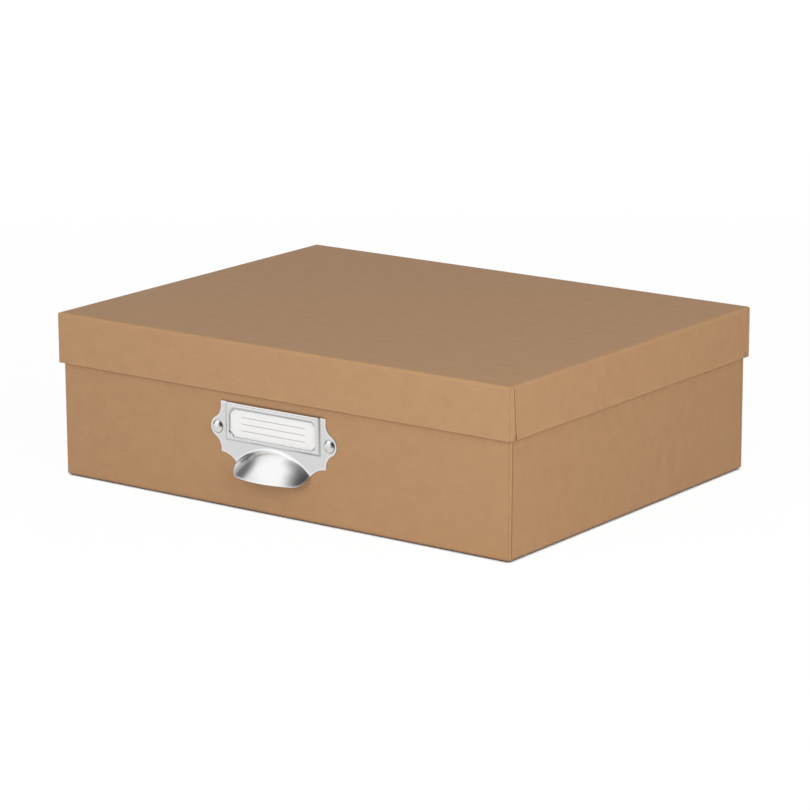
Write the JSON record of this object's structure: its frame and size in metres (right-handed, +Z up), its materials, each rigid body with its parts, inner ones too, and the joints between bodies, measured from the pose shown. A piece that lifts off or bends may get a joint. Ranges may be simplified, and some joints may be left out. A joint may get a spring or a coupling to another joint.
{
  "type": "lidded document box",
  "caption": "Kraft-covered cardboard box for A4 papers with a lift-off lid, and a stamped steel label holder with a cup pull riveted to its front.",
  "frame": {"origin": "centre of the base's underside, midway between its walls", "axes": "+X along the box's length, +Z up out of the box, -Y towards the front with the label holder"},
  "size_m": [0.33, 0.2665, 0.1005],
  "materials": {
    "kraft_paper": "matte uncoated brown kraft paper",
    "greyboard": "raw grey pulp board",
    "stay_paper": "gummed paper tape",
    "lining_paper": "matte uncoated brown kraft paper",
    "label_holder_steel": "nickel-plated sheet steel",
    "rivet_steel": "nickel-plated, polished",
    "washer_steel": "zinc-plated",
    "label_card": "smooth white card"
  },
  "bodies": {
    "base": {"base_board": "greyboard", "base_stay_front_left": "stay_paper", "base_stay_front_right": "stay_paper", "base_stay_back_left": "stay_paper", "base_stay_back_right": "stay_paper", "base_wrap": "kraft_paper", "base_liner": "lining_paper", "label_holder": "label_holder_steel", "rivet_left": "rivet_steel", "rivet_right": "rivet_steel", "washer_left": "washer_steel", "washer_right": "washer_steel"},
    "lid": {"lid_board": "greyboard", "lid_stay_front_left": "stay_paper", "lid_stay_front_right": "stay_paper", "lid_stay_back_left": "stay_paper", "lid_stay_back_right": "stay_paper", "lid_wrap": "kraft_paper", "lid_liner": "lining_paper"},
    "card": {"label_card": "label_card"}
  },
  "joints": [
    {"name": "lid_lift", "type": "slide", "parent": "base", "child": "lid", "axis": [0, 0, 1], "range_m": [0, 0.15]},
    {"name": "card_slide", "type": "slide", "parent": "base", "child": "card", "axis": [0, 0, 1], "range_m": [0, 0.0228]}
  ]
}
